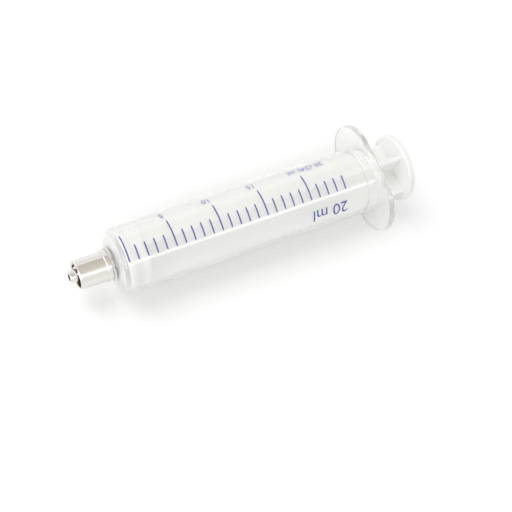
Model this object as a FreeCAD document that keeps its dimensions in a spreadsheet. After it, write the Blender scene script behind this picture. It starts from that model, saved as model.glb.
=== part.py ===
import FreeCAD, Part

# A 20 ml two-part syringe with a metal luer lock, plunger pushed fully in, lying on its finger flange.
#
# Every piece is drawn about the X axis of its own body. X runs from the tip to the thumb disc, and x = 0 is
# the zero line of the scale, where the front edge of the plunger's sealing head stands when it is pushed in.
# The placement of each piece then sets the middle of the whole length at x = 0 and the flange on z = 0.

import math
import os
import re

import Sketcher
from FreeCAD import Vector

# Driving dimensions, in millimetres: alias, value, what it is
DIMENSIONS = [
    ("bore_radius", 10.025, "barrel: inside radius, the standard bore of this capacity"),
    ("barrel_wall", 0.975, "barrel: wall of the tube"),
    ("front_cone_depth", 2.2, "barrel: how far the front wall falls from the bore to the passage"),
    ("front_wall", 1.45, "barrel: thickness of the front wall along the axis"),
    ("shoulder_round", 2.2, "barrel: outside round of the front shoulder"),
    ("nose_step", 0.5, "barrel: boss beyond the ring of the fitting that sits on it"),
    ("nose_reach", 4.0, "barrel: face of the boss, ahead of the zero line"),
    ("nose_chamfer", 0.45, "barrel: foot of the boss"),
    ("stub_radius", 2.9, "barrel: stub that fills the fitting"),
    ("stub_length", 3.0, "barrel: length of the stub, ahead of the boss"),
    ("stub_bead_height", 0.35, "barrel: bead on the stub that locks the fitting on"),
    ("stub_bead_width", 1.0, "barrel: width of that bead at its foot"),
    ("lumen_radius", 1.1, "fluid passage through the stub and the metal cone"),
    ("bore_corner_chamfer", 0.3, "barrel: corner where the bore meets the front wall"),
    ("mouth_chamfer", 0.4, "barrel: lead-in at the open end"),
    ("bead_height", 0.25, "barrel: retaining bead that stops the plunger from being pulled out"),
    ("bead_width", 1.2, "barrel: width of the retaining bead at its foot"),
    ("mouth_length", 4.7, "barrel: retaining bead to the open end"),
    ("flange_thickness", 2.0, "finger flange: thickness"),
    ("flange_reach", 8.0, "finger flange: reach of each wing beyond the tube"),
    ("flange_ledge", 1.0, "finger flange: flat sides beyond the tube"),
    ("flange_edge_chamfer", 0.45, "finger flange: eased edges of its outline"),
    ("flange_foot_chamfer", 0.7, "finger flange: strengthened foot at the tube"),
    ("hub_step", 0.35, "fitting: ring that seats on the boss, beyond the collar"),
    ("hub_length", 1.5, "fitting: width of that ring"),
    ("collar_wall", 0.75, "fitting: wall of the locking collar"),
    ("collar_length", 10.5, "fitting: seat to the mouth of the collar"),
    ("collar_chamfer", 0.3, "fitting: turned edges"),
    ("recess_radius", 4.0, "fitting: inside of the collar at the thread root"),
    ("recess_web", 1.0, "fitting: floor of the recess, over the stub"),
    ("thread_height", 0.5, "fitting: height of the locking thread"),
    ("thread_lead", 5.0, "fitting: lead of the double-start thread"),
    ("thread_foot_width", 1.1, "fitting: thread ridge at its foot"),
    ("thread_crest_width", 0.5, "fitting: thread ridge at its crest"),
    ("thread_runout", 0.9, "fitting: recess left free behind the thread"),
    ("thread_foot_sink", 0.15, "fitting: how deep the ridge is rooted in the collar wall"),
    ("cone_projection", 2.1, "fitting: cone beyond the mouth of the collar"),
    ("cone_tip_radius", 1.98, "fitting: cone at its tip"),
    ("cone_edge_chamfer", 0.15, "fitting: turned edge of the cone's tip"),
    ("cone_taper", 0.03, "fitting: radius gained along the cone, per millimetre (6 % on diameter)"),
    ("front_gap", 0.3, "plunger: gap to the front wall when pushed in"),
    ("stop_gap", 0.3, "plunger: gap to the retaining bead when drawn out"),
    ("seal_clearance", 0.04, "plunger: radial clearance of the lips as modelled"),
    ("lip_width", 1.1, "plunger: land of each sealing lip"),
    ("lip_chamfer", 0.35, "plunger: edge of each sealing lip"),
    ("neck_depth", 1.185, "plunger: head between the lips, below their radius"),
    ("neck_slope", 1.0, "plunger: axial run of each slope down to the neck"),
    ("neck_length", 1.9, "plunger: plain part of the neck"),
    ("stroke", 77.0, "plunger: travel to the retaining bead, just past 24 ml"),
    ("rib_thickness", 1.7, "plunger: thickness of the cross ribs"),
    ("rib_clearance", 0.725, "plunger: gap between the ribs and the bore"),
    ("rib_root_fillet", 0.8, "plunger: fillet where the ribs cross"),
    ("rib_tip_round", 0.5, "plunger: round of each rib's outer edges"),
    ("disc_radius", 11.5, "plunger: thumb disc"),
    ("disc_thickness", 2.2, "plunger: thickness of the thumb disc"),
    ("disc_stand_off", 9.8, "plunger: gap between flange and thumb disc when pushed in"),
    ("disc_edge_round", 0.9, "plunger: round of the thumb disc's rim on the thumb's side"),
    ("disc_edge_chamfer", 0.5, "plunger: rim of the thumb disc towards the flange"),
    ("grip_ring_pitch", 2.4, "plunger: spacing of the grip rings on the thumb face"),
    ("grip_ring_width", 1.0, "plunger: width of each grip ring at its foot"),
    ("grip_crest_width", 0.5, "plunger: width of each grip ring at its crest"),
    ("grip_ring_height", 0.35, "plunger: height of each grip ring"),
]
ALIASES = {alias for alias, number, meaning in DIMENSIONS}
GRIP_RINGS = 3
THREAD_STARTS = 2
# A round or chamfer takes at most this share of the wall that it runs along
EDGE_SHARE = 0.4
# How near an edge must lie to the place where it is looked for
MATCH = 1e-4

doc = FreeCAD.newDocument("LuerLockSyringe")


def fill_sheet():
    """Writes the driving dimensions into the spreadsheet as plain numbers with an alias each."""
    sheet = doc.addObject("Spreadsheet::Sheet", "Dimensions")
    for row, (alias, number, meaning) in enumerate(DIMENSIONS, start=1):
        sheet.set(f"A{row}", meaning)
        sheet.set(f"B{row}", str(number))
        sheet.setAlias(f"B{row}", alias)
    doc.recompute()
    return sheet


sheet = fill_sheet()


def bound(formula):
    """A formula in plain aliases, as the expression that points at the sheet's cells."""
    return re.sub(r"[a-z_]+", lambda m: f"Dimensions.{m[0]}" if m[0] in ALIASES else m[0], formula)


def new_body(label):
    body = doc.addObject("PartDesign::Body", label)
    body.Label = label
    return body


def new_sketch(body, name, role, lift=None):
    """A sketch on one of the body's own origin planes, lifted off it by a formula if one is given."""
    sketch = body.newObject("Sketcher::SketchObject", name)
    plane = next(feature for feature in body.Origin.OriginFeatures if feature.Role == role)
    sketch.AttachmentSupport = [(plane, "")]
    sketch.MapMode = "FlatFace"
    if lift is not None:
        sketch.setExpression("AttachmentOffset.Base.z", bound(lift))
    return sketch


def pin(sketch, geometry, end, across, up):
    """Fixes a sketch point at two formulas, measured from the sketch's origin."""
    for kind, formula in (("DistanceX", across), ("DistanceY", up)):
        number = sketch.addConstraint(Sketcher.Constraint(kind, -1, 1, geometry, end, 1.0))
        sketch.setExpression(f"Constraints[{number}]", bound(formula))


def polygon(body, name, role, corners, lift=None, rounds=()):
    """A closed outline of straight lines; each corner is a pair of formulas in the sheet's aliases.
    rounds lists the corners that get a tangent arc, each with the alias of its radius."""
    sketch = new_sketch(body, name, role, lift)
    count = len(corners)
    turns = [2 * math.pi * i / count for i in range(count)]
    start = [Vector(math.cos(turn), math.sin(turn), 0) for turn in turns]
    for i in range(count):
        sketch.addGeometry(Part.LineSegment(start[i], start[(i + 1) % count]), False)
    for i in range(count):
        sketch.addConstraint(Sketcher.Constraint("Coincident", i, 2, (i + 1) % count, 1))
    for i, (across, up) in enumerate(corners):
        pin(sketch, i, 1, across, up)
    doc.recompute()
    for pair, alias in rounds:
        arc, radius = sketch.GeometryCount, float(getattr(sheet, alias))
        sketch.fillet(corners.index(pair), 1, radius, True, True)
        number = sketch.addConstraint(Sketcher.Constraint("Radius", arc, radius))
        sketch.setExpression(f"Constraints[{number}]", bound(alias))
    doc.recompute()
    return sketch


def revolve(body, name, corners, rounds=()):
    """Turns an outline drawn in the half plane above the X axis into a body of revolution."""
    sketch = polygon(body, f"{name}Profile", "XY_Plane", corners, rounds=rounds)
    feature = body.newObject("PartDesign::Revolution", name)
    feature.Profile = sketch
    feature.ReferenceAxis = (sketch, ["H_Axis"])
    feature.Angle = 360
    doc.recompute()
    return feature


def corner(feature, outline, pair):
    """Where a corner of a revolved outline came to lie: its x and its radius."""
    point = feature.Profile[0].Geometry[outline.index(pair)].StartPoint
    return point.x, point.y


def rings_at(feature, places):
    """Names of the circular edges about the X axis that pass through the given (x, radius) places."""
    found = []
    for number, edge in enumerate(feature.Shape.Edges, start=1):
        if not isinstance(edge.Curve, Part.Circle):
            continue
        centre = edge.Curve.Center
        for x, radius in places:
            seat = Vector(x, 0, 0)
            if centre.distanceToPoint(seat) < MATCH and abs(edge.Curve.Radius - radius) < MATCH:
                found.append(f"Edge{number}")
    return found


def dress(body, kind, name, base, edges, size):
    """A fillet or chamfer of the body's last feature, its size bound to the sheet."""
    if not edges:
        raise RuntimeError(f"{name}: no edge found")
    feature = body.newObject(f"PartDesign::{kind}", name)
    feature.Base = (base, edges)
    feature.setExpression("Radius" if kind == "Fillet" else "Size", bound(size))
    doc.recompute()
    return feature


# Barrel: one clear moulding from the stub inside the metal fitting to the finger flange

FRONT_SLOPE = "front_cone_depth / (bore_radius - lumen_radius)"
BORE_FRONT = "(0 - front_gap)"
OUTER = "(bore_radius + barrel_wall)"
FRONT_OUTSIDE = f"({BORE_FRONT} - front_wall)"
COLLAR = "(recess_radius + collar_wall)"
HUB = f"({COLLAR} + hub_step)"
NOSE = f"({HUB} + nose_step)"
NOSE_ROOT = f"({FRONT_OUTSIDE} - (bore_radius - {NOSE}) * {FRONT_SLOPE})"
SHOULDER = f"({FRONT_OUTSIDE} + barrel_wall * {FRONT_SLOPE})"
STUB_TIP = "(0 - nose_reach - stub_length)"
STUB_MIDDLE = "(0 - nose_reach - stub_length / 2)"
HEAD_LENGTH = "(2 * (lip_chamfer + lip_width + neck_slope) + neck_length)"
BEAD_MIDDLE = f"({HEAD_LENGTH} + stroke + stop_gap + bead_width / 2)"
BARREL_END = f"({BEAD_MIDDLE} + bead_width / 2 + mouth_length)"
MOUTH_RADIUS = "(bore_radius + mouth_chamfer)"
FLANGE_HALF_HEIGHT = f"({OUTER} + flange_ledge)"

STUB_BEAD = [
    (f"{STUB_MIDDLE} - stub_bead_width / 2", "stub_radius"),
    (STUB_MIDDLE, "stub_radius + stub_bead_height"),
    (f"{STUB_MIDDLE} + stub_bead_width / 2", "stub_radius"),
]


def barrel():
    body = new_body("barrel")
    wall = [
        (STUB_TIP, "lumen_radius"),
        (STUB_TIP, "stub_radius"),
        *STUB_BEAD,
        ("0 - nose_reach", "stub_radius"),
        ("0 - nose_reach", NOSE),
        (NOSE_ROOT, NOSE),
        (SHOULDER, OUTER),
        (BARREL_END, OUTER),
        (BARREL_END, MOUTH_RADIUS),
        (f"{BARREL_END} - mouth_chamfer", "bore_radius"),
        (f"{BEAD_MIDDLE} + bead_width / 2", "bore_radius"),
        (BEAD_MIDDLE, "bore_radius - bead_height"),
        (f"{BEAD_MIDDLE} - bead_width / 2", "bore_radius"),
        (BORE_FRONT, "bore_radius"),
        (f"{BORE_FRONT} - front_cone_depth", "lumen_radius"),
    ]
    tube = revolve(body, "Tube", wall, [((SHOULDER, OUTER), "shoulder_round")])
    nose_root = corner(tube, wall, (NOSE_ROOT, NOSE))
    bore_corner = corner(tube, wall, (BORE_FRONT, "bore_radius"))
    end, outer = corner(tube, wall, (BARREL_END, OUTER))
    front = end - float(sheet.flange_thickness)
    flange = pad_flange(body, outer)
    # The foot and the eased outline share the flange's narrow ledge along its flat sides
    ledge_share = f"flange_ledge * {EDGE_SHARE}"
    eased = f"min(flange_edge_chamfer; flange_thickness * {EDGE_SHARE}; {ledge_share})"
    foot = rings_at(flange, [(front, outer)])
    last = dress(body, "Chamfer", "FlangeFoot", flange, foot, f"min(flange_foot_chamfer; {ledge_share})")
    last = dress(body, "Chamfer", "FlangeEdges", last, outline_edges(last, front, outer), eased)
    nose_foot = f"min(nose_chamfer; (nose_reach + {NOSE_ROOT}) * {EDGE_SHARE})"
    last = dress(body, "Chamfer", "NoseFoot", last, rings_at(last, [nose_root]), nose_foot)
    dress(body, "Chamfer", "BoreCorner", last, rings_at(last, [bore_corner]), "bore_corner_chamfer")
    return body


def pad_flange(body, outer):
    """Two rounded wings joined by flat sides, round the open end of the tube of this outside radius."""
    sketch = new_sketch(body, "FlangeOutline", "YZ_Plane", f"{BARREL_END} - flange_thickness")
    height = outer + float(sheet.flange_ledge)
    centre = float(sheet.flange_reach) - float(sheet.flange_ledge)
    top, bottom, right, left = 0, 1, 2, 3
    first_end, second_end, middle_point = 1, 2, 3
    sketch.addGeometry(Part.LineSegment(Vector(-centre, height, 0), Vector(centre, height, 0)), False)
    sketch.addGeometry(Part.LineSegment(Vector(centre, -height, 0), Vector(-centre, -height, 0)), False)
    for middle, start in ((centre, -math.pi / 2), (-centre, math.pi / 2)):
        round_end = Part.Circle(Vector(middle, 0, 0), Vector(0, 0, 1), height)
        sketch.addGeometry(Part.ArcOfCircle(round_end, start, start + math.pi), False)
    for line, arc, end in ((top, right, second_end), (bottom, right, first_end),
                           (bottom, left, second_end), (top, left, first_end)):
        sketch.addConstraint(Sketcher.Constraint("Tangent", line, end, arc, end))
    pin(sketch, right, middle_point, "flange_reach - flange_ledge", "0")
    pin(sketch, left, middle_point, "flange_ledge - flange_reach", "0")
    for arc in (right, left):
        number = sketch.addConstraint(Sketcher.Constraint("Radius", arc, height))
        sketch.setExpression(f"Constraints[{number}]", bound(FLANGE_HALF_HEIGHT))
    # The hole's edge lies half way through the wall of the tube, so the two join and the bore stays open
    wall_middle = outer - float(sheet.barrel_wall) / 2
    hole = sketch.addGeometry(Part.Circle(Vector(0, 0, 0), Vector(0, 0, 1), wall_middle), False)
    sketch.addConstraint(Sketcher.Constraint("Coincident", hole, middle_point, -1, 1))
    number = sketch.addConstraint(Sketcher.Constraint("Radius", hole, wall_middle))
    sketch.setExpression(f"Constraints[{number}]", bound("bore_radius + barrel_wall / 2"))
    doc.recompute()
    flange = body.newObject("PartDesign::Pad", "Flange")
    flange.Profile = sketch
    flange.setExpression("Length", bound("flange_thickness"))
    doc.recompute()
    return flange


def outline_edges(feature, front, outer):
    """The edges round the flange's outline, on its front and back faces."""
    half_height = outer + float(sheet.flange_ledge)
    found = []
    for number, edge in enumerate(feature.Shape.Edges, start=1):
        box = edge.BoundBox
        across = max(abs(box.ZMin), abs(box.ZMax), abs(box.YMin), abs(box.YMax))
        in_face = box.XLength < MATCH and box.XMin > front - MATCH
        if in_face and across > half_height - MATCH:
            found.append(f"Edge{number}")
    return found


# Luer lock fitting: one turned piece of plated brass, moulded into the nose of the barrel

MOUTH = "(0 - nose_reach - collar_length)"
CONE_TIP = f"({MOUTH} - cone_projection)"
RECESS_FLOOR = f"({STUB_TIP} - recess_web)"
HUB_FRONT = "(0 - nose_reach - hub_length)"
CONE_ROOT_RADIUS = f"(cone_tip_radius + cone_taper * ({RECESS_FLOOR} - {CONE_TIP}))"
EASED_HUB = f"({HUB} - collar_chamfer / 2)"


def luer_lock_fitting():
    body = new_body("luer_lock_fitting")
    section = [
        (CONE_TIP, "lumen_radius"),
        (CONE_TIP, "cone_tip_radius"),
        (RECESS_FLOOR, CONE_ROOT_RADIUS),
        (RECESS_FLOOR, "recess_radius"),
        (f"{MOUTH} + collar_chamfer", "recess_radius"),
        (MOUTH, "recess_radius + collar_chamfer"),
        (MOUTH, f"{COLLAR} - collar_chamfer"),
        (f"{MOUTH} + collar_chamfer", COLLAR),
        (HUB_FRONT, COLLAR),
        (HUB_FRONT, EASED_HUB),
        (f"{HUB_FRONT} + collar_chamfer / 2", HUB),
        ("0 - nose_reach - collar_chamfer / 2", HUB),
        ("0 - nose_reach", EASED_HUB),
        ("0 - nose_reach", "stub_radius"),
        *reversed(STUB_BEAD),
        (STUB_TIP, "stub_radius"),
        (STUB_TIP, "lumen_radius"),
    ]
    turned = revolve(body, "Turned", section)
    cone_edge = corner(turned, section, (CONE_TIP, "cone_tip_radius"))
    dress(body, "Chamfer", "ConeEdge", turned, rings_at(turned, [cone_edge]), "cone_edge_chamfer")
    start = f"({MOUTH} + collar_chamfer + thread_foot_width / 2)"
    half_foot, half_crest = "thread_foot_width / 2", "thread_crest_width / 2"
    # The thread starts in the plane square to the outline's own, where the turned surfaces have no seam
    ridge = polygon(body, "ThreadRidge", "XZ_Plane", [
        (f"{start} - {half_foot}", "recess_radius + thread_foot_sink"),
        (f"{start} - {half_foot}", "recess_radius"),
        (f"{start} - {half_crest}", "recess_radius - thread_height"),
        (f"{start} + {half_crest}", "recess_radius - thread_height"),
        (f"{start} + {half_foot}", "recess_radius"),
        (f"{start} + {half_foot}", "recess_radius + thread_foot_sink"),
    ])
    thread = body.newObject("PartDesign::AdditiveHelix", "LockThread")
    thread.Profile = ridge
    thread.ReferenceAxis = (ridge, ["H_Axis"])
    thread.Mode = 0
    thread.setExpression("Pitch", bound("thread_lead"))
    thread.setExpression("Height", bound(f"{RECESS_FLOOR} - thread_runout - {half_foot} - {start}"))
    doc.recompute()
    starts = body.newObject("PartDesign::PolarPattern", "ThreadStarts")
    starts.Originals = [thread]
    starts.Axis = (ridge, ["H_Axis"])
    starts.Angle = 360
    starts.Occurrences = THREAD_STARTS
    body.Tip = starts
    doc.recompute()
    return body


# Plunger: one milky moulding, sealing head, cross ribs and thumb disc

LIP_RADIUS = "(bore_radius - seal_clearance)"
NECK_RADIUS = f"({LIP_RADIUS} - neck_depth)"
RIB_REACH = "(bore_radius - rib_clearance)"
DISC_FRONT = f"({BARREL_END} + disc_stand_off)"
DISC_BACK = f"({DISC_FRONT} + disc_thickness)"


def plunger():
    body = new_body("plunger")
    head = [
        (f"0 - ({LIP_RADIUS} - lip_chamfer - lumen_radius) * {FRONT_SLOPE}", "0"),
        (f"0 - ({LIP_RADIUS} - lip_chamfer - lumen_radius) * {FRONT_SLOPE}", "lumen_radius"),
        ("0", f"{LIP_RADIUS} - lip_chamfer"),
        ("lip_chamfer", LIP_RADIUS),
        ("lip_chamfer + lip_width", LIP_RADIUS),
        ("lip_chamfer + lip_width + neck_slope", NECK_RADIUS),
        ("lip_chamfer + lip_width + neck_slope + neck_length", NECK_RADIUS),
        (f"{HEAD_LENGTH} - lip_chamfer - lip_width", LIP_RADIUS),
        (f"{HEAD_LENGTH} - lip_chamfer", LIP_RADIUS),
        (HEAD_LENGTH, f"{LIP_RADIUS} - lip_chamfer"),
        (HEAD_LENGTH, "0"),
    ]
    revolve(body, "Head", head)
    ribs = pad_ribs(body)
    half = float(sheet.rib_thickness) / 2
    reach = float(sheet.bore_radius) - float(sheet.rib_clearance)
    tip_round = f"min(rib_tip_round; rib_thickness * {EDGE_SHARE})"
    last = dress(body, "Fillet", "RibRoots", ribs, long_edges(ribs, half, half), "rib_root_fillet")
    dress(body, "Fillet", "RibTips", last, long_edges(last, reach, half), tip_round)
    outline = thumb_disc_section()
    disc = revolve(body, "ThumbDisc", outline)
    front, back = (corner(disc, outline, (x, "disc_radius")) for x in (DISC_FRONT, DISC_BACK))
    rim_round = f"min(disc_edge_round; disc_thickness * {EDGE_SHARE})"
    rim_share = f"min(disc_thickness; disc_radius - {RIB_REACH}) * {EDGE_SHARE}"
    rim_chamfer = f"min(disc_edge_chamfer; {rim_share})"
    last = dress(body, "Fillet", "ThumbRim", disc, rings_at(disc, [back]), rim_round)
    dress(body, "Chamfer", "FrontRim", last, rings_at(last, [front]), rim_chamfer)
    return body


def thumb_disc_section():
    """The disc with raised rings on the face that the thumb presses."""
    section = [(DISC_FRONT, "0"), (DISC_FRONT, "disc_radius"), (DISC_BACK, "disc_radius")]
    ring_top = f"{DISC_BACK} + grip_ring_height"
    half_foot, half_crest = "grip_ring_width / 2", "grip_crest_width / 2"
    for ring in reversed(range(1, GRIP_RINGS + 1)):
        middle = f"{ring} * grip_ring_pitch"
        section += [
            (DISC_BACK, f"{middle} + {half_foot}"),
            (ring_top, f"{middle} + {half_crest}"),
            (ring_top, f"{middle} - {half_crest}"),
            (DISC_BACK, f"{middle} - {half_foot}"),
        ]
    section.append((DISC_BACK, "0"))
    return section


def pad_ribs(body):
    """Four ribs in a cross, from inside the head to the middle of the thumb disc."""
    half = "rib_thickness / 2"
    arm = [(half, half), (RIB_REACH, half), (RIB_REACH, f"0 - {half}")]
    quarter_turns = [
        lambda across, up: (across, up),
        lambda across, up: (up, f"0 - ({across})"),
        lambda across, up: (f"0 - ({across})", f"0 - ({up})"),
        lambda across, up: (f"0 - ({up})", across),
    ]
    corners = []
    for turn in quarter_turns:
        corners += [turn(*point) for point in arm]
    sketch = polygon(body, "RibOutline", "YZ_Plane", corners, f"{HEAD_LENGTH} - lip_chamfer")
    ribs = body.newObject("PartDesign::Pad", "Ribs")
    ribs.Profile = sketch
    ribs.setExpression("Length", bound(f"{DISC_FRONT} + disc_thickness / 2 - {HEAD_LENGTH} + lip_chamfer"))
    doc.recompute()
    return ribs


def long_edges(feature, reach, half):
    """Names of the rib edges that run along the axis, at these two distances from it across the ribs."""
    found = []
    for number, edge in enumerate(feature.Shape.Edges, start=1):
        box = edge.BoundBox
        if box.YLength > MATCH or box.ZLength > MATCH:
            continue
        place = sorted((abs(box.YMin), abs(box.ZMin)), reverse=True)
        if abs(place[0] - reach) < MATCH and abs(place[1] - half) < MATCH:
            found.append(f"Edge{number}")
    return found


def lay_down(body):
    """Sets a piece in the shared frame: middle of the length at x = 0, the flange's flat side on z = 0."""
    length_middle = f"({CONE_TIP} + {DISC_BACK} + grip_ring_height) / 2"
    body.setExpression("Placement.Base.x", bound(f"0 - {length_middle}"))
    body.setExpression("Placement.Base.z", bound(FLANGE_HALF_HEIGHT))


def check_and_write(bodies):
    doc.recompute()
    for item in doc.Objects:
        if any(word in state for state in item.State for word in ("Invalid", "Error")):
            raise RuntimeError(f"{item.Name} failed: {item.State}")
    os.makedirs("parts", exist_ok=True)
    for body in bodies:
        shape = body.Shape
        if shape.isNull() or not shape.isValid():
            raise RuntimeError(f"{body.Label} has no valid shape")
        shape.exportStep(f"parts/{body.Label}.step")
        box = shape.BoundBox
        print(f"{body.Label}: {len(shape.Solids)} solid, {shape.Volume:.1f} mm3,"
              f" x {box.XMin:.2f} to {box.XMax:.2f}, z {box.ZMin:.2f} to {box.ZMax:.2f}")


pieces = [barrel(), luer_lock_fitting(), plunger()]
for piece in pieces:
    lay_down(piece)
check_and_write(pieces)
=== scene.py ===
import math

import bpy
from mathutils import Matrix, Vector


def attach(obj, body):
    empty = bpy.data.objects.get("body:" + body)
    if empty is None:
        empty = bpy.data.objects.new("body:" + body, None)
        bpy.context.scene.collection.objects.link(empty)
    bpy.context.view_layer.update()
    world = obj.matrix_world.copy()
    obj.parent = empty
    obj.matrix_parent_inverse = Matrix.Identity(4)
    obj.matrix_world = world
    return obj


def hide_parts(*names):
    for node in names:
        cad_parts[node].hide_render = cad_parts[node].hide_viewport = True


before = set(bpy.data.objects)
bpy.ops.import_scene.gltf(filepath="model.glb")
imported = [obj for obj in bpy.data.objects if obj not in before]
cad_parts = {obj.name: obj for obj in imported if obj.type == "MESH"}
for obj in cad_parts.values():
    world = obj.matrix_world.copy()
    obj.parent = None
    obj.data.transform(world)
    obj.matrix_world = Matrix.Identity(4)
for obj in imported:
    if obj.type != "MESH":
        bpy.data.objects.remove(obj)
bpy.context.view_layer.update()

bpy.ops.object.select_all(action="DESELECT")

# Camera. It has the photograph's viewing angle on the syringe. The real one lies rolled over about its own
# axis, and the model lies flat on its finger flange, so the camera goes round the axis by that roll.

MM = 0.001
AIM = Vector((-4.875, 0, 12)) * MM
AIM_PIXEL = (228.83, 223.67)
IMAGE_SIDE = 512
FOCAL_PIXELS = 1200
DISTANCE = 384.6 * MM
AZIMUTH, ELEVATION, ROLL = (math.radians(angle) for angle in (-28.245, 41.103, -31.02))
NEAREST, FARTHEST = 0.01, 20
# In millimetres, as Blender's camera takes it
SENSOR_WIDTH = 36

# The camera's own axes and its way from the aim, first without that roll
right = Vector((math.cos(AZIMUTH), math.sin(AZIMUTH), 0))
back = Vector((
    math.sin(AZIMUTH) * math.cos(ELEVATION),
    -math.cos(AZIMUTH) * math.cos(ELEVATION),
    math.sin(ELEVATION),
))
up = back.cross(right)
# One pixel's width at the aim, and how many pixels the aim lies off the picture's middle
pixel = DISTANCE / FOCAL_PIXELS
off_right, off_down = (place - IMAGE_SIDE / 2 for place in AIM_PIXEL)
way = back * DISTANCE - right * off_right * pixel + up * off_down * pixel
roll = Matrix.Rotation(ROLL, 3, "X")
right, up, back, way = (roll @ vector for vector in (right, up, back, way))

camera = bpy.data.objects.new("camera", bpy.data.cameras.new("camera"))
bpy.context.scene.collection.objects.link(camera)
camera.data.sensor_width = SENSOR_WIDTH
camera.data.lens = FOCAL_PIXELS / IMAGE_SIDE * SENSOR_WIDTH
camera.data.clip_start = NEAREST
camera.data.clip_end = FARTHEST
camera.matrix_world = Matrix.Translation(AIM + way) @ Matrix((right, up, back)).transposed().to_4x4()
bpy.context.scene.camera = camera
bpy.context.scene.view_settings.view_transform = "Standard"

# Barrel. One injection moulding in clear polypropylene: the tube, the finger flange, and the boss and stub
# that carry the metal fitting. Its wall is drawn as a half section and spun round the axis, and the flange, a
# plate with round ends and straight sides, is joined to it.

ZERO_LINE = -42.875 * MM
AXIS_HEIGHT = 12 * MM
TUBE_RADIUS = 11 * MM
ROUND_STEPS = 192
ARC_STEPS = 6
SMOOTH_ANGLE = math.radians(35)
WELD = 0.001 * MM
# Half section of the wall: x from the zero line, radius, and how far the corner is rounded, in millimetres
WALL_SECTION = [
    (-7.0, 1.1, 0), (-7.0, 2.9, 0), (-6.0, 2.9, 0), (-5.5, 3.25, 0), (-5.0, 2.9, 0), (-4.0, 2.9, 0),
    (-4.0, 5.6, 0.1), (-2.84, 5.6, 0.6), (-1.51, 11.0, 1.72), (87.4, 11.0, 0.3), (88.0, 11.6, 0),
    (89.5, 11.6, 0), (89.5, 11.0, 0), (90.0, 11.0, 0), (90.0, 10.425, 0.1), (89.6, 10.025, 0.2),
    (85.3, 10.025, 0.3), (84.7, 9.775, 0.2), (84.1, 10.025, 0.3), (-0.3, 10.025, 0.35), (-2.5, 1.1, 0.2),
]
FLANGE_FRONT, FLANGE_THICKNESS = 88 * MM, 2 * MM
FLANGE_RADIUS, FLANGE_SHIFT = 12 * MM, 7 * MM
FLANGE_STEPS = 128
FLANGE_EDGE, FLANGE_EDGE_STEPS = 0.4 * MM, 4
FLANGE_EDGE_ANGLE = math.radians(60)
FLAT_ANGLE = math.radians(1)
HOLE_RADIUS, HOLE_DEPTH = 10.5 * MM, 10 * MM
# Turns an upright primitive to lie along the syringe
LYING = (0, math.pi / 2, 0)


def on_axis(x, radius=0):
    """A point at this x from the zero line, this far above the syringe's axis."""
    return Vector((ZERO_LINE + x, 0, AXIS_HEIGHT + radius))


def pick(piece):
    """Makes a piece the only selected object and the active one."""
    bpy.ops.object.select_all(action="DESELECT")
    piece.select_set(True)
    bpy.context.view_layer.objects.active = piece


def finish_place():
    """Puts the selected object's place, turn and scale into its mesh."""
    bpy.ops.object.transform_apply(location=True, rotation=True, scale=True)


def edit_all():
    """Opens the active object in edit mode with all of it selected."""
    bpy.ops.object.mode_set(mode="EDIT")
    bpy.ops.mesh.select_all(action="SELECT")


def select_where(piece, test):
    """In edit mode, selects the vertices whose place passes the test."""
    bpy.ops.mesh.select_all(action="DESELECT")
    bpy.ops.object.mode_set(mode="OBJECT")
    for vertex in piece.data.vertices:
        vertex.select = test(vertex.co)
    bpy.ops.object.mode_set(mode="EDIT")


def close_mesh():
    """In edit mode, joins what touches and turns the faces outwards, then leaves edit mode."""
    bpy.ops.mesh.select_all(action="SELECT")
    bpy.ops.mesh.remove_doubles(threshold=WELD)
    bpy.ops.mesh.normals_make_consistent(inside=False)
    bpy.ops.object.mode_set(mode="OBJECT")


def apply_modifier(piece, kind, **settings):
    """Picks a piece, gives it a modifier with these settings and applies it."""
    pick(piece)
    modifier = piece.modifiers.new(kind, kind)
    for name, value in settings.items():
        setattr(modifier, name, value)
    bpy.ops.object.modifier_apply(modifier=modifier.name)


# The half section starts as a plane shrunk to one point. It grows from point to point, and is then closed,
# rounded at its corners and spun.
points = [on_axis(x * MM, radius * MM) for x, radius, rounding in WALL_SECTION]
bpy.ops.mesh.primitive_plane_add(size=MM, location=points[0])
barrel = bpy.context.object
finish_place()
edit_all()
bpy.ops.mesh.merge(type="CENTER")
bpy.ops.mesh.select_all(action="SELECT")
for here, there in zip(points, points[1:]):
    bpy.ops.mesh.extrude_region_move(TRANSFORM_OT_translate={"value": there - here})
select_where(barrel, lambda place: min((place - end).length for end in (points[0], points[-1])) < WELD)
bpy.ops.mesh.edge_face_add()
for point, (x, radius, rounding) in zip(points, WALL_SECTION):
    if rounding:
        select_where(barrel, lambda place: (place - point).length < WELD)
        bpy.ops.mesh.bevel(offset=rounding * MM, segments=ARC_STEPS, affect="VERTICES")
bpy.ops.mesh.select_all(action="SELECT")
bpy.ops.mesh.spin(steps=ROUND_STEPS, angle=math.tau, center=on_axis(0), axis=(1, 0, 0))
close_mesh()

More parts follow.
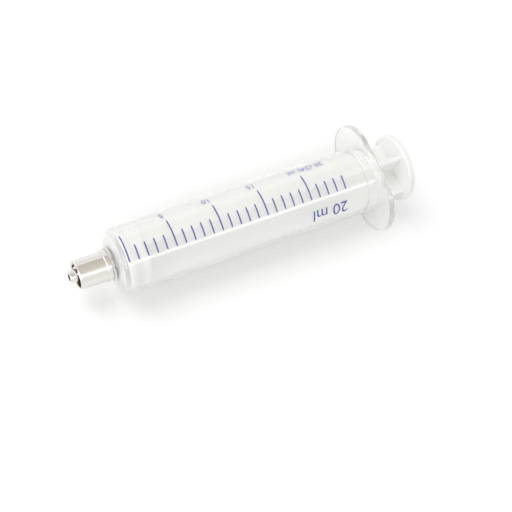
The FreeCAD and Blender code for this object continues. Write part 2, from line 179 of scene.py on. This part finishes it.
# The flange's outline is a circle cut in two, with its halves moved apart
flange_place = on_axis(FLANGE_FRONT)
bpy.ops.mesh.primitive_circle_add(
    vertices=FLANGE_STEPS, radius=FLANGE_RADIUS, fill_type="NGON", location=flange_place, rotation=LYING)
flange = bpy.context.object
finish_place()
edit_all()
bpy.ops.mesh.bisect(plane_co=flange_place, plane_no=(0, 1, 0))
for side in (1, -1):
    select_where(flange, lambda place: place.y * side > WELD)
    bpy.ops.transform.translate(value=(0, side * FLANGE_SHIFT, 0))
bpy.ops.mesh.select_all(action="SELECT")
bpy.ops.mesh.dissolve_limited(angle_limit=FLAT_ANGLE)
bpy.ops.mesh.select_all(action="SELECT")
bpy.ops.mesh.extrude_region_move(TRANSFORM_OT_translate={"value": (FLANGE_THICKNESS, 0, 0)})
close_mesh()
apply_modifier(
    flange, "BEVEL", width=FLANGE_EDGE, segments=FLANGE_EDGE_STEPS, angle_limit=FLANGE_EDGE_ANGLE)

# Its hole ends inside the tube's wall, so that the two join and the bore stays clear
bpy.ops.mesh.primitive_cylinder_add(
    vertices=ROUND_STEPS, radius=HOLE_RADIUS, depth=HOLE_DEPTH, location=flange_place, rotation=LYING)
hole = bpy.context.object
apply_modifier(flange, "BOOLEAN", object=hole, operation="DIFFERENCE")
apply_modifier(barrel, "BOOLEAN", object=flange, operation="UNION")
bpy.data.objects.remove(hole)
bpy.data.objects.remove(flange)
bpy.ops.object.shade_smooth_by_angle(angle=SMOOTH_ANGLE)
apply_modifier(barrel, "WEIGHTED_NORMAL", keep_sharp=True)
barrel.name = barrel.data.name = "clear_barrel"


def linear(code):
    """An sRGB colour written in hex as the linear colour that the shaders take."""
    parts = [int(code[start:start + 2], 16) / 255 for start in (0, 2, 4)]
    return [part / 12.92 if part <= 0.04045 else ((part + 0.055) / 1.055) ** 2.4 for part in parts] + [1]


def add_node(owner, kind, inputs=None, **settings):
    """Adds a node with its settings to a material or a world, and sets or links its inputs."""
    tree = owner.node_tree
    node = tree.nodes.new(kind)
    for name, value in settings.items():
        setattr(node, name, value)
    for name, value in (inputs or {}).items():
        if isinstance(value, bpy.types.NodeSocket):
            tree.links.new(value, node.inputs[name])
        else:
            node.inputs[name].default_value = value
    return node


def new_material(name):
    """An empty material and its object coordinates."""
    material = bpy.data.materials.new(name)
    material.use_nodes = True
    material.node_tree.nodes.clear()
    place = add_node(material, "ShaderNodeTexCoord").outputs["Object"]
    return material, place


def dress(piece, material):
    """Gives a piece one material on all of its slots."""
    if not piece.data.materials:
        piece.data.materials.append(material)
    for slot in piece.material_slots:
        slot.material = material


# Clear polypropylene from a polished mould: glossy and nearly clear, with a soft haze that blurs what lies
# behind it. The melt ran along the tube, so the haze lies in streaks of some 22 by 4 mm, and the surface has
# slow waves along them.
STREAK_LENGTH, STREAK_WIDTH = 22 * MM, 4 * MM
WAVE_DEPTH = 0.018 * MM
polypropylene, place = new_material("clear_polypropylene")
stretched = add_node(polypropylene, "ShaderNodeMapping", {
    "Vector": place,
    "Scale": (1 / STREAK_LENGTH, 1 / STREAK_WIDTH, 1 / STREAK_WIDTH),
})
streaks = add_node(polypropylene, "ShaderNodeTexNoise", {
    "Vector": stretched.outputs["Vector"],
    "Scale": 1,
    "Detail": 2,
})
haze = add_node(polypropylene, "ShaderNodeMapRange", {
    "Value": streaks.outputs["Fac"],
    "From Min": 0.3,
    "From Max": 0.7,
    "To Min": 0.14,
    "To Max": 0.26,
})
waves = add_node(polypropylene, "ShaderNodeBump", {
    "Height": streaks.outputs["Fac"],
    "Strength": 1,
    "Distance": WAVE_DEPTH,
})
wall = add_node(polypropylene, "ShaderNodeBsdfPrincipled", {
    "Base Color": linear("fefefd"),
    "Roughness": haze.outputs["Result"],
    "IOR": 1.49,
    "Transmission Weight": 0.78,
    "Coat Weight": 1,
    "Coat Roughness": 0.06,
    "Coat IOR": 1.49,
    "Normal": waves.outputs["Normal"],
    "Coat Normal": waves.outputs["Normal"],
})
# Lamps and soft light pass straight through the wall
path = add_node(polypropylene, "ShaderNodeLightPath")
straight = add_node(polypropylene, "ShaderNodeMath", {
    0: path.outputs["Is Shadow Ray"],
    1: path.outputs["Is Diffuse Ray"],
}, operation="MAXIMUM")
through = add_node(polypropylene, "ShaderNodeBsdfTransparent", {"Color": linear("fcfcfb")})
mix = add_node(polypropylene, "ShaderNodeMixShader", {
    0: straight.outputs[0],
    1: wall.outputs["BSDF"],
    2: through.outputs["BSDF"],
})
add_node(polypropylene, "ShaderNodeOutputMaterial", {"Surface": mix.outputs["Shader"]})
dress(barrel, polypropylene)
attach(barrel, "barrel")
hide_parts("barrel")

# Scale. Blue ink, screen printed straight on the tube: a mark for each millilitre, a long one and a number at
# every fifth, and what the syringe holds. The film of ink grips the wall, so it starts just inside it.

DIVISION = 3.1673 * MM
MARK_COUNT, LONG_EVERY = 25, 5
MARK_WIDTH = 0.44 * MM
# Angles from the tube's top line towards +Y, where every mark starts and where short and long ones end
MARK_START, SHORT_END, LONG_END = (math.radians(angle) for angle in (-23.64, 0.63, 23.64))
INK_THICKNESS, INK_SINK = 0.03 * MM, 0.004 * MM
PRINT_STEP = math.radians(2) * TUBE_RADIUS
# Text, height and x of its middle from the zero line in millimetres, and angle of its middle in degrees
WORDS = [
    ("5", 2.3, 15.2, 39),
    ("10", 2.3, 30.7, 39),
    ("15", 2.3, 46.5, 39),
    ("20 (24) ml", 2.3, 66.6, 39),
    ("20 ml", 4.3, 69.4, -53),
]
# Height of a digit in text of size 1
DIGIT_SHARE = 0.73
LETTER_STEPS = 4

# Screen ink: dull blue, and a little uneven where the mesh of the screen let less of it through. The real
# unevenness is some 0.2 mm across, too fine to show, and is drawn at 0.8 mm.
SCREEN_CLOUD = 0.8 * MM
ink, place = new_material("scale_ink")
film = add_node(ink, "ShaderNodeTexNoise", {"Vector": place, "Scale": 1 / SCREEN_CLOUD, "Detail": 2})
shade = add_node(ink, "ShaderNodeMix", {
    "Factor": film.outputs["Fac"],
    "A": linear("495199"),
    "B": linear("5860a9"),
}, data_type="RGBA")
dried = add_node(ink, "ShaderNodeBsdfPrincipled", {"Base Color": shade.outputs["Result"], "Roughness": 0.4})
add_node(ink, "ShaderNodeOutputMaterial", {"Surface": dried.outputs["BSDF"]})


def divide_print(low, high):
    """In edit mode, cuts a flat print across its y in steps that are small enough to bend round the tube."""
    steps = math.ceil((high - low) / PRINT_STEP)
    for step in range(1, steps):
        bpy.ops.mesh.select_all(action="SELECT")
        bpy.ops.mesh.bisect(plane_co=(0, low + (high - low) * step / steps, 0), plane_no=(0, 1, 0))


def wrap_print(piece):
    """Lays a flat print round the tube: its y becomes the arc from the tube's top line."""
    for vertex in piece.data.vertices:
        along, arc, lift = vertex.co
        angle, radius = arc / TUBE_RADIUS, TUBE_RADIUS - INK_SINK + lift
        vertex.co = (along, radius * math.sin(angle), AXIS_HEIGHT + radius * math.cos(angle))
    dress(piece, ink)


def fix_print(piece, name):
    """Names a print and fixes it to the barrel."""
    piece.name = piece.data.name = name
    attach(piece, "barrel")


# One short and one long mark are made at the zero line and copied to their places
for end, is_long in ((SHORT_END, False), (LONG_END, True)):
    low, high = MARK_START * TUBE_RADIUS, end * TUBE_RADIUS
    bpy.ops.mesh.primitive_plane_add(size=1, location=(ZERO_LINE, (low + high) / 2, 0))
    pattern = bpy.context.object
    pattern.scale = (MARK_WIDTH, high - low, 1)
    finish_place()
    edit_all()
    divide_print(low, high)
    bpy.ops.mesh.select_all(action="SELECT")
    bpy.ops.mesh.extrude_region_move(TRANSFORM_OT_translate={"value": (0, 0, INK_THICKNESS)})
    close_mesh()
    wrap_print(pattern)
    for number in range(MARK_COUNT):
        if (number % LONG_EVERY == 0) == is_long:
            pick(pattern)
            bpy.ops.object.duplicate()
            mark = bpy.context.object
            mark.location.x = number * DIVISION
            finish_place()
            fix_print(mark, f"mark_{number}")
    bpy.data.objects.remove(pattern)

# Each word is turned half round, so that it reads from the flange towards the tip
for number, (text, height, middle, angle) in enumerate(WORDS):
    arc = math.radians(angle) * TUBE_RADIUS
    bpy.ops.object.text_add()
    word = bpy.context.object
    word.data.body = text
    word.data.size = height * MM / DIGIT_SHARE
    word.data.align_x = "CENTER"
    word.data.align_y = "CENTER"
    word.data.extrude = INK_THICKNESS / 2
    word.data.resolution_u = LETTER_STEPS
    bpy.ops.object.convert(target="MESH")
    word = bpy.context.object
    word.rotation_euler.z = math.pi
    word.location = (ZERO_LINE + middle * MM, arc, INK_THICKNESS / 2)
    finish_place()
    edit_all()
    bpy.ops.mesh.remove_doubles(threshold=WELD)
    divide_print(arc - height * MM, arc + height * MM)
    close_mesh()
    wrap_print(word)
    fix_print(word, f"word_{number}")

# Lock fitting. One piece turned from brass: the cone that a needle's hub pushes on, and round it the collar
# with the lock thread inside. It sits on the boss at the barrel's front and grips the stub there. Its shape
# is the CAD one.

# Bright nickel plate: a warm white mirror, with the rings that the turning tool left in the brass. The real
# rings are about 0.1 mm apart, too fine to show, so they are drawn at 0.4 mm.
TURNING_PITCH, TURNING_DEPTH = 0.4 * MM, 0.0015 * MM
# Rings in one unit of length, in a wave texture of scale 1
RINGS_PER_UNIT = 20 / math.tau
nickel, place = new_material("nickel_plated_brass")
rings = add_node(nickel, "ShaderNodeTexWave", {
    "Vector": place,
    "Scale": 1 / TURNING_PITCH / RINGS_PER_UNIT,
    "Distortion": 0.3,
}, bands_direction="X")
relief = add_node(nickel, "ShaderNodeBump", {
    "Height": rings.outputs["Fac"],
    "Strength": 1,
    "Distance": TURNING_DEPTH,
})
plating = add_node(nickel, "ShaderNodeBsdfPrincipled", {
    "Base Color": linear("e4e1dc"),
    "Metallic": 1,
    "Roughness": 0.16,
    "Normal": relief.outputs["Normal"],
})
add_node(nickel, "ShaderNodeOutputMaterial", {"Surface": plating.outputs["BSDF"]})
dress(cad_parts["luer_lock_fitting"], nickel)

# Plunger. One injection moulding: the sealing head with its two lips, four ribs along the shaft and the thumb
# disc. The head needs no rubber, because the soft polymer seals by itself. Its shape is the CAD one.

# Natural polyethylene: milky, because the polymer scatters the light a few millimetres deep, slightly cloudy
# where it cooled unevenly, and waxy, with a satin grain from the mould. The clouds are some 5 mm across. The
# real grain is some 0.05 mm, too fine to show, and is drawn at 0.5 mm.
CLOUD = 5 * MM
GRAIN, GRAIN_DEPTH = 0.5 * MM, 0.006 * MM
SCATTER_DEPTH = 3 * MM
polyethylene, place = new_material("milky_polyethylene")
clouds = add_node(polyethylene, "ShaderNodeTexNoise", {"Vector": place, "Scale": 1 / CLOUD, "Detail": 4})
tone = add_node(polyethylene, "ShaderNodeMix", {
    "Factor": clouds.outputs["Fac"],
    "A": linear("f1f1ef"),
    "B": linear("f8f8f6"),
}, data_type="RGBA")
grain = add_node(polyethylene, "ShaderNodeTexNoise", {"Vector": place, "Scale": 1 / GRAIN, "Detail": 1})
satin = add_node(polyethylene, "ShaderNodeBump", {
    "Height": grain.outputs["Fac"],
    "Strength": 1,
    "Distance": GRAIN_DEPTH,
})
milky = add_node(polyethylene, "ShaderNodeBsdfPrincipled", {
    "Base Color": tone.outputs["Result"],
    "Roughness": 0.35,
    "IOR": 1.51,
    "Subsurface Weight": 0.5,
    "Subsurface Radius": (1, 1, 1),
    "Subsurface Scale": SCATTER_DEPTH,
    "Normal": satin.outputs["Normal"],
})
add_node(polyethylene, "ShaderNodeOutputMaterial", {"Surface": milky.outputs["BSDF"]})
dress(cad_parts["plunger"], polyethylene)

# Floor, backdrop and light. A plain white floor under soft studio light. Floor and backdrop look white to the
# camera, in the metal and through the clear wall, and the floor keeps the syringe's soft shadow.

FLOOR_SIDE = 6
FADE_START, FADE_END = 0.15, 0.9
GLOW_NEAR, GLOW_FAR = 0.12, 0.45
# Strength of the backdrop as a light, where the camera sees it at 1
BACKDROP_LIGHT = 0.61


def seen(owner):
    """A value of 1 for what the camera sees, straight, mirrored or through a clear wall, and 0 for light."""
    path = add_node(owner, "ShaderNodeLightPath")
    mirrored = add_node(owner, "ShaderNodeMath", {
        0: path.outputs["Is Camera Ray"],
        1: path.outputs["Is Glossy Ray"],
    }, operation="MAXIMUM")
    refracted = add_node(owner, "ShaderNodeMath", {
        0: mirrored.outputs[0],
        1: path.outputs["Is Transmission Ray"],
    }, operation="MAXIMUM")
    return refracted.outputs[0]


bpy.ops.mesh.primitive_plane_add(size=FLOOR_SIDE)
floor = bpy.context.object
floor.name = "floor"

# Matt white paper. It glows for the camera alone: a little near the syringe, where the shadow has to show,
# and more farther out, where it turns plain white.
paper, place = new_material("matt_white_paper")
away = add_node(paper, "ShaderNodeVectorMath", {0: place}, operation="LENGTH")
fade = add_node(paper, "ShaderNodeMapRange", {
    "Value": away.outputs["Value"],
    "From Min": FADE_START,
    "From Max": FADE_END,
    "To Min": GLOW_NEAR,
    "To Max": GLOW_FAR,
})
strength = add_node(paper, "ShaderNodeMath", {
    0: seen(paper),
    1: fade.outputs["Result"],
}, operation="MULTIPLY")
matt = add_node(paper, "ShaderNodeBsdfDiffuse", {"Color": linear("fafafa")})
glow = add_node(paper, "ShaderNodeEmission", {"Color": linear("ffffff"), "Strength": strength.outputs[0]})
both = add_node(paper, "ShaderNodeAddShader", {0: matt.outputs["BSDF"], 1: glow.outputs["Emission"]})
add_node(paper, "ShaderNodeOutputMaterial", {"Surface": both.outputs["Shader"]})
dress(floor, paper)

# White backdrop, which lights the syringe softly from all round
world = bpy.data.worlds.new("studio")
world.use_nodes = True
world.node_tree.nodes.clear()
level = add_node(world, "ShaderNodeMapRange", {"Value": seen(world), "To Min": BACKDROP_LIGHT, "To Max": 1})
backdrop = add_node(world, "ShaderNodeBackground", {
    "Color": linear("ffffff"),
    "Strength": level.outputs["Result"],
})
add_node(world, "ShaderNodeOutputWorld", {"Surface": backdrop.outputs["Background"]})
bpy.context.scene.world = world


def add_softbox(name, place, width, depth, power):
    """A rectangular lamp at this place, facing the syringe, its width along the syringe."""
    lamp = bpy.data.lights.new(name, "AREA")
    lamp.shape = "RECTANGLE"
    lamp.size = width
    lamp.size_y = depth
    lamp.energy = power
    holder = bpy.data.objects.new(name, lamp)
    bpy.context.scene.collection.objects.link(holder)
    away = (Vector(place) - AIM).normalized()
    across = away.cross(Vector((1, 0, 0))).normalized()
    turn = Matrix((across.cross(away), across, away)).transposed().to_4x4()
    holder.matrix_world = Matrix.Translation(place) @ turn


# The key lights it all, the strip draws the bright line along the tube, and the front lamp brightens the
# front wall. Places and sizes are in metres and power is in watts.
add_softbox("key", place=(-0.25, 0.45, 0.7), width=0.5, depth=0.5, power=2.6)
add_softbox("strip", place=(0.28, -0.46, 0.6), width=0.9, depth=0.12, power=0.8)
add_softbox("front", place=(-0.55, -0.12, 0.16), width=0.3, depth=0.3, power=0.7)

# A warm grey card over the syringe, which shows only in shiny surfaces and gives the metal its darker tone.
# The card itself turns darker from its near edge to its far one.
CARD_PLACE = (0.2, 0.22, 0.55)
CARD_WIDTH, CARD_DEPTH = 0.5, 0.8
CARD_NEAR, CARD_FAR = -0.2, 0.6
bpy.ops.mesh.primitive_plane_add(size=1, location=CARD_PLACE)
card = bpy.context.object
card.name = "card"
card.scale = (CARD_WIDTH, CARD_DEPTH, 1)
finish_place()
card_paint, place = new_material("warm_grey_card")
split = add_node(card_paint, "ShaderNodeSeparateXYZ", {"Vector": place})
blend = add_node(card_paint, "ShaderNodeMapRange", {
    "Value": split.outputs["Y"],
    "From Min": CARD_NEAR,
    "From Max": CARD_FAR,
})
tone = add_node(card_paint, "ShaderNodeMix", {
    "Factor": blend.outputs["Result"],
    "A": linear("ece7e0"),
    "B": linear("cdc6be"),
}, data_type="RGBA")
glow = add_node(card_paint, "ShaderNodeEmission", {"Color": tone.outputs["Result"], "Strength": 1})
add_node(card_paint, "ShaderNodeOutputMaterial", {"Surface": glow.outputs["Emission"]})
dress(card, card_paint)
card.visible_camera = card.visible_diffuse = card.visible_transmission = card.visible_shadow = False
